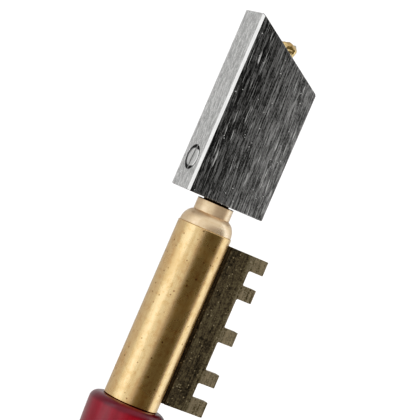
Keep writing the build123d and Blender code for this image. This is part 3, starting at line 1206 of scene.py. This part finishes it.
@dataclass
class Comb:
    """The notched breaking comb with its tang."""

    low: Vector = cad_corner("breaker_comb", 0)
    high: Vector = cad_corner("breaker_comb", 1)
    teeth: tuple[float, ...] = (2.8, 2.4, 2.6, 2.45, 2.55)
    notches: tuple[float, ...] = (2.6, 5.2, 5.3, 2.65)
    bottoms: tuple[float, ...] = (10.0, 10.3, 10.35, 10.4)
    shoulder_y: float = -5.7 * MM
    tang_half: float = 0.35 * MM
    inner_corner: float = 0.3 * MM
    outer_corner: float = 0.12 * MM

    def outline(self) -> list[tuple[float, float, float]]:
        """The plate's outline: along the root, then back over teeth and notches."""
        points = [(self.low.x, self.shoulder_y, 0.05 * MM)]
        x = self.low.x
        for i, tooth in enumerate(self.teeth):
            points.append((x, self.low.y, self.outer_corner))
            x += tooth * MM
            points.append((x, self.low.y, self.outer_corner))
            if i < len(self.notches):
                points.append((x, -self.bottoms[i] * MM, self.inner_corner))
                x += self.notches[i] * MM
                points.append((x, -self.bottoms[i] * MM, self.inner_corner))
        points.append((self.high.x, self.shoulder_y, 0.05 * MM))
        return points

    def build(self, patina: bpy.types.Material, worn: bpy.types.Material) -> bpy.types.Object:
        """Builds the comb.

        Args:
            patina: the finish of its faces.
            worn: the finish of its rubbed edges.

        Returns:
            The piece.
        """
        comb = outline_object("breaker_comb_plate", self.outline())
        plate_tree().run(comb, Thickness=self.high.z - self.low.z, Corner_Steps=4, Material=patina)
        comb.data.materials.append(worn)
        smooth(comb.data, 25.0)
        soften(comb, 0.09 * MM, 2, slot=1, angle=40.0)
        tang = box_cutter(
            Vector((self.low.x + 0.02 * MM, self.shoulder_y - 0.2 * MM, -self.tang_half)),
            Vector((self.high.x - 0.02 * MM, -4.1 * MM, self.tang_half)),
        )
        tang.data.materials.append(patina)
        combine(comb, "UNION", tang)
        return settle(comb, Body.HANDLE, "comb_bronze", "breaker_comb")


@dataclass
class Head:
    """The swivelling steel head with its screw, stud, solder and diamond."""

    low: Vector = cad_corner("head_block", 0)
    high: Vector = cad_corner("head_block", 1)
    flat: float = 0.99
    guide_side: float = 0.3
    bore_reach: float = 2.6 * MM
    bore_facet: float = 3 * MM * MM
    edge_round: float = 0.05 * MM
    dog_radius: float = 1.1 * MM
    dog_root: float = 2.7 * MM
    screw_edge: float = 0.18 * MM
    screw_crown: float = 0.05 * MM
    slot_half: float = 0.2 * MM
    slot_depth: float = 0.12 * MM
    slot_turn: float = -4.0

    def build_block(self, wide: bpy.types.Material, guide: bpy.types.Material,
                    edge: bpy.types.Material) -> bpy.types.Object:
        """Builds the rhomboid block.

        Args:
            wide: the finish of its wide faces.
            guide: the finish of its narrow faces.
            edge: the finish of its chamfers that face +Y, painted bright as lit; the other chamfers take the
                wide finish.

        Returns:
            The piece.
        """
        bm = cad_shape("head_block")
        for face in bm.faces:
            normal = face.normal
            near_axis = all(abs(v.co.z) < self.bore_reach for v in face.verts)
            in_bore = near_axis and face.calc_area() < self.bore_facet
            narrow = abs(normal.y) > self.flat or normal.x < -self.flat or abs(normal.z) < 1 - self.flat
            if abs(normal.z) > self.flat and abs(face.calc_center_median().z) > self.bore_reach:
                face.material_index = 0
            elif in_bore or narrow:
                face.material_index = 1
            else:
                # Painted light: chamfers that face +Y take the bright finish, as if lit, and the rest take
                # the dark wide finish.
                face.material_index = 2 if normal.y > self.guide_side else 0
        block = piece("head_block_ground", finish_mesh("head_block_ground", bm), wide, guide, edge)
        soften(block, self.edge_round, 2)
        return settle(block, Body.HEAD, "head_steel", "head_block")

    def build_screw(self, steel: bpy.types.Material, dark: bpy.types.Material) -> bpy.types.Object:
        """Builds the slotted screw.

        Args:
            steel: the finish of its face.
            dark: the finish inside its slot.

        Returns:
            The piece.
        """
        low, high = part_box("head_screw")
        radius = (high.x - low.x) / 2
        x = (low.x + high.x) / 2
        rim = (high.y - self.screw_edge, radius)
        dog = [(low.y, 0), (low.y, self.dog_radius), (self.dog_root, self.dog_radius)]
        crown = arc(rim, (high.y - self.screw_crown, radius - 0.17 * MM), 5)
        profile = [*dog, (self.dog_root, radius), rim, *crown, (high.y, radius * 0.4), (high.y, 0)]
        mesh = turned("head_screw_slotted", profile, 64)
        mesh.transform(Matrix.Translation((x, 0, 0)) @ Matrix.Rotation(math.radians(90), 4, "Z"))
        screw = piece("head_screw_slotted", mesh, steel, dark)
        corner = Vector((radius + MM, self.slot_depth, self.slot_half))
        turn = Matrix.Translation((x, high.y, 0)) @ Matrix.Rotation(math.radians(self.slot_turn), 4, "Y")
        slot = box_cutter(-corner, corner, turn)
        slot.data.materials.append(dark)
        combine(screw, "DIFFERENCE", slot)
        smooth(screw.data)
        soften(screw, 0.035 * MM, 2)
        return settle(screw, Body.HEAD, "screw_steel", "head_screw")

    def build_setting(self, brass: bpy.types.Material) -> bpy.types.Object:
        """Builds the filed brass stud."""
        mesh = finish_mesh("diamond_setting_filed", cad_shape("diamond_setting"), 20.0)
        stud = piece("diamond_setting_filed", mesh, brass)
        soften(stud, 0.12 * MM, 3, angle=12.0)
        roughen(stud, 0.16 * MM, 0.9 * MM)
        return settle(stud, Body.HEAD, "setting_brass", "diamond_setting")

    def build_small(self, solder: bpy.types.Material, crystal: bpy.types.Material) -> None:
        """Builds the solder bead and the diamond."""
        bead_mesh = finish_mesh("setting_solder_bead", cad_shape("setting_solder"))
        bead = piece("setting_solder_bead", bead_mesh, solder)
        soften(bead, 0.06 * MM, 2)
        settle(bead, Body.HEAD, "solder", "setting_solder")
        stone_mesh = finish_mesh("diamond_crystal", cad_shape("diamond_point"), 5.0)
        stone = piece("diamond_crystal", stone_mesh, crystal)
        soften(stone, 0.02 * MM, 1)
        settle(stone, Body.HEAD, "diamond", "diamond_point")


# ---- Camera, light and floor ----


@dataclass
class Studio:
    """A white sheet, soft lights and a long lens."""

    target: Vector = field(default_factory=lambda: Vector((104.49, 0.56, 0.0)) * MM)
    towards: Vector = field(default_factory=lambda: Vector((0.00389, 0.45356, 0.89122)))
    up: Vector = field(default_factory=lambda: Vector((0.91788, 0.35206, -0.18318)))
    distance: float = 306.4 * MM
    lens: float = 158.57
    floor_z: float = -0.06

    def build_camera(self) -> None:
        """Places the camera."""
        data = bpy.data.cameras.new("camera")
        data.lens = self.lens
        data.sensor_width = 36.0
        data.clip_start, data.clip_end = 0.01, 20.0
        camera = bpy.data.objects.new("camera", data)
        back = self.towards.normalized()
        right = self.up.cross(back).normalized()
        above = back.cross(right)
        turn = Matrix((right, above, back)).transposed().to_4x4()
        camera.matrix_world = Matrix.Translation(self.target + back * self.distance) @ turn
        bpy.context.scene.collection.objects.link(camera)
        bpy.context.scene.camera = camera

    def build_floor(self, paper: bpy.types.Material) -> None:
        """Lays the pale sheet under the tool."""
        bm = bmesh.new()
        bmesh.ops.create_grid(bm, x_segments=2, y_segments=2, size=3.0)
        bm.transform(Matrix.Translation((0, 0, self.floor_z)))
        floor = piece("floor", finish_mesh("floor", bm), paper)

    def lamp(self, name: str, place: Vector, size: tuple[float, float], watts: float) -> bpy.types.Object:
        """Adds a soft rectangular light, aimed at the camera's target and unseen by the camera.

        Args:
            name: its name.
            place: where it stands, in metres.
            size: its width and height.
            watts: its power.

        Returns:
            The light.
        """
        data = bpy.data.lights.new(name, "AREA")
        data.shape = "RECTANGLE"
        data.size, data.size_y = size
        data.energy = watts
        light = bpy.data.objects.new(name, data)
        light.visible_camera = False
        light.location = place
        light.rotation_mode = "QUATERNION"
        light.rotation_quaternion = (self.target - place).to_track_quat("-Z", "Y")
        bpy.context.scene.collection.objects.link(light)
        return light

    def build_lights(self) -> None:
        """Lights the tool in a white room that has a dark patch for the metal to mirror."""
        self.lamp("guide_side_light", Vector((0.10, 0.24, 0.02)), (0.7, 0.16), 0.25)
        self.lamp("comb_side_light", Vector((0.08, -0.26, 0.03)), (0.7, 0.18), 0.22)
        overhead = self.lamp("overhead_light", Vector((0.10, 0.05, 1.0)), (1.6, 1.6), 15.0)
        overhead.visible_glossy = False
        world = bpy.data.worlds.new("white_room")
        world.use_nodes = True
        bpy.context.scene.world = world
        tree = world.node_tree
        direction = node(tree, "ShaderNodeTexCoord").outputs["Generated"]
        parts = node(tree, "ShaderNodeSeparateXYZ", Vector=direction).outputs
        beside = ramp(tree, parts[0], 0.35, 0.75, 1.0, 0.0)
        leaning = maths(tree, "MULTIPLY", parts[1], -0.34)
        dark_way = maths(tree, "ADD", leaning, maths(tree, "MULTIPLY", parts[2], 0.94))
        share = maths(tree, "MULTIPLY", ramp(tree, dark_way, 0.50, 0.87), beside)
        sky = blend(tree, share, (0.95, 0.95, 0.95), (0.15, 0.14, 0.13))
        tree.links.new(sky, tree.nodes["Background"].inputs["Color"])

    def build(self, paper: bpy.types.Material) -> None:
        """Builds the whole studio."""
        self.build_camera()
        self.build_floor(paper)
        self.build_lights()
        self.set_tones()

    @staticmethod
    def set_tones() -> None:
        """Gives the picture deep shadows and a gentle shoulder."""
        view = bpy.context.scene.view_settings
        view.view_transform = "Standard"
        view.use_curve_mapping = True
        curve = view.curve_mapping.curves[3]
        for dim, shown in ((0.035, 0.010), (0.10, 0.070), (0.25, 0.225), (0.60, 0.60)):
            curve.points.new(dim, shown)
        curve.points[-1].location = (1.0, 0.93)
        view.curve_mapping.update()


def main() -> None:
    """Builds every sub-assembly in order."""
    logging.basicConfig(level=logging.INFO, format="%(message)s")
    effects = Effects()
    Studio().build(Paper().make(effects))

    collar_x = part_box("ferrule_tube")[0].x
    head_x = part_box("head_block")[0].x
    low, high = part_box("head_screw")
    wide = GroundSteel(
        "wide_face_steel", dark=0.014, light=0.18, shine=0.85, roughness=0.36, metal=0.6, lines=0.6,
        # lift paints light that brightens the wide faces towards -Y
        specks=1.0, seed=1.0, lift=0.32,
    ).make(effects)
    guide = GroundSteel(
        "guide_face_steel", dark=0.40, light=0.80, shine=0.95, roughness=0.36, metal=0.85, lines=0.4,
        specks=0.15, seed=5.0, slant=-9.0,
    ).make(effects)
    # A bright copy of the steel, as painted light, for the chamfers that face +Y.
    edge = GroundSteel(
        "lit_chamfer_steel", dark=0.70, light=0.84, shine=0.90, roughness=0.32, metal=0.9, lines=0.1, specks=0.0,
        seed=9.0,
    ).make(effects)
    # A darker grey steel for inside the screw's slot.
    slot_grey_steel = GroundSteel(
        "slot_steel", dark=0.25, light=0.45, shine=0.5, roughness=0.5, metal=0.8, lines=0.1, specks=0.0,
        seed=15.0, lay=Lay.EVEN,
    ).make(effects)
    screw = RimmedSteel("screw_steel", middle=(low.x + high.x) / 2, radius=(high.x - low.x) / 2).make(effects)
    tube = Brass(
        "tube_brass", base=(0.82, 0.61, 0.34), tarnish=(0.56, 0.33, 0.14), roughness=0.25, tarnish_share=0.08,
        line_depth=0.012 * MM, lay=Lay.ALONG, seed=2.0, pits=0.8, mottle=0.55,
        # painted shade at the tube's seam against the handle's collar
        grime=(collar_x + 0.24 * MM, collar_x + 0.04 * MM),
    ).make(effects)
    turned_brass = Brass(
        "turned_brass", base=(0.92, 0.77, 0.57), tarnish=(0.56, 0.37, 0.20), roughness=0.24,
        tarnish_share=0.25, line_depth=0.004 * MM, lay=Lay.ROUND, seed=4.0, pits=0.2, metal=0.8, mottle=0.4,
        # painted shade in the gap under the swivel head
        grime=(head_x - 0.42 * MM, head_x - 0.30 * MM),
    ).make(effects)
    filed_brass = Brass(
        "filed_brass", base=(0.88, 0.69, 0.37), tarnish=(0.30, 0.17, 0.06), roughness=0.26, tarnish_share=0.5,
        line_depth=0.02 * MM, lay=Lay.EVEN, seed=6.0, pits=0.6,
    ).make(effects)
    comb_face = Patina(
        "comb_patina", deep=(0.018, 0.015, 0.010), brown=(0.088, 0.076, 0.052), rubbed=(0.44, 0.37, 0.25),
        teeth_from=9.0 * MM, teeth_to=11.5 * MM, crease_inner=5.0 * MM, crease_outer=5.7 * MM, rub=0.85,
        seed=3.0,
    ).make(effects)
    comb_edge = Patina(
        "comb_edge_patina", deep=(0.05, 0.040, 0.028), brown=(0.14, 0.11, 0.07), rubbed=(0.36, 0.30, 0.20),
        teeth_from=6.0 * MM, teeth_to=11.5 * MM, crease_inner=4.9 * MM, crease_outer=5.5 * MM, rub=1.0,
        seed=3.0,
    ).make(effects)
    lacquer = Lacquer(
        "red_lacquer", red=(0.21, 0.007, 0.018), deep=(0.09, 0.004, 0.010), rim=(0.035, 0.004, 0.012),
        rim_span=(collar_x - 1.6 * MM, collar_x - 0.9 * MM), seed=8.0,
    ).make(effects)
    solder = Solder("soft_solder", seed=11.0).make(effects)
    crystal = Crystal("rough_diamond", seed=13.0).make(effects)

    Handle().build(lacquer)
    ferrule = Ferrule()
    comb = Comb()
    ferrule.build_tube(tube, (comb.low.x, comb.high.x))
    ferrule.build_bush(turned_brass)
    ferrule.build_pin(tube)
    Stem().build(turned_brass)
    comb.build(comb_face, comb_edge)
    head = Head()
    head.build_block(wide, guide, edge)
    head.build_screw(screw, slot_grey_steel)
    head.build_setting(filed_brass)
    head.build_small(solder, crystal)

    nut = frame["nodes"]["stem_nut"]
    nut.data.materials.clear()
    nut.data.materials.append(turned_brass)


if __name__ == "__main__":
    main()
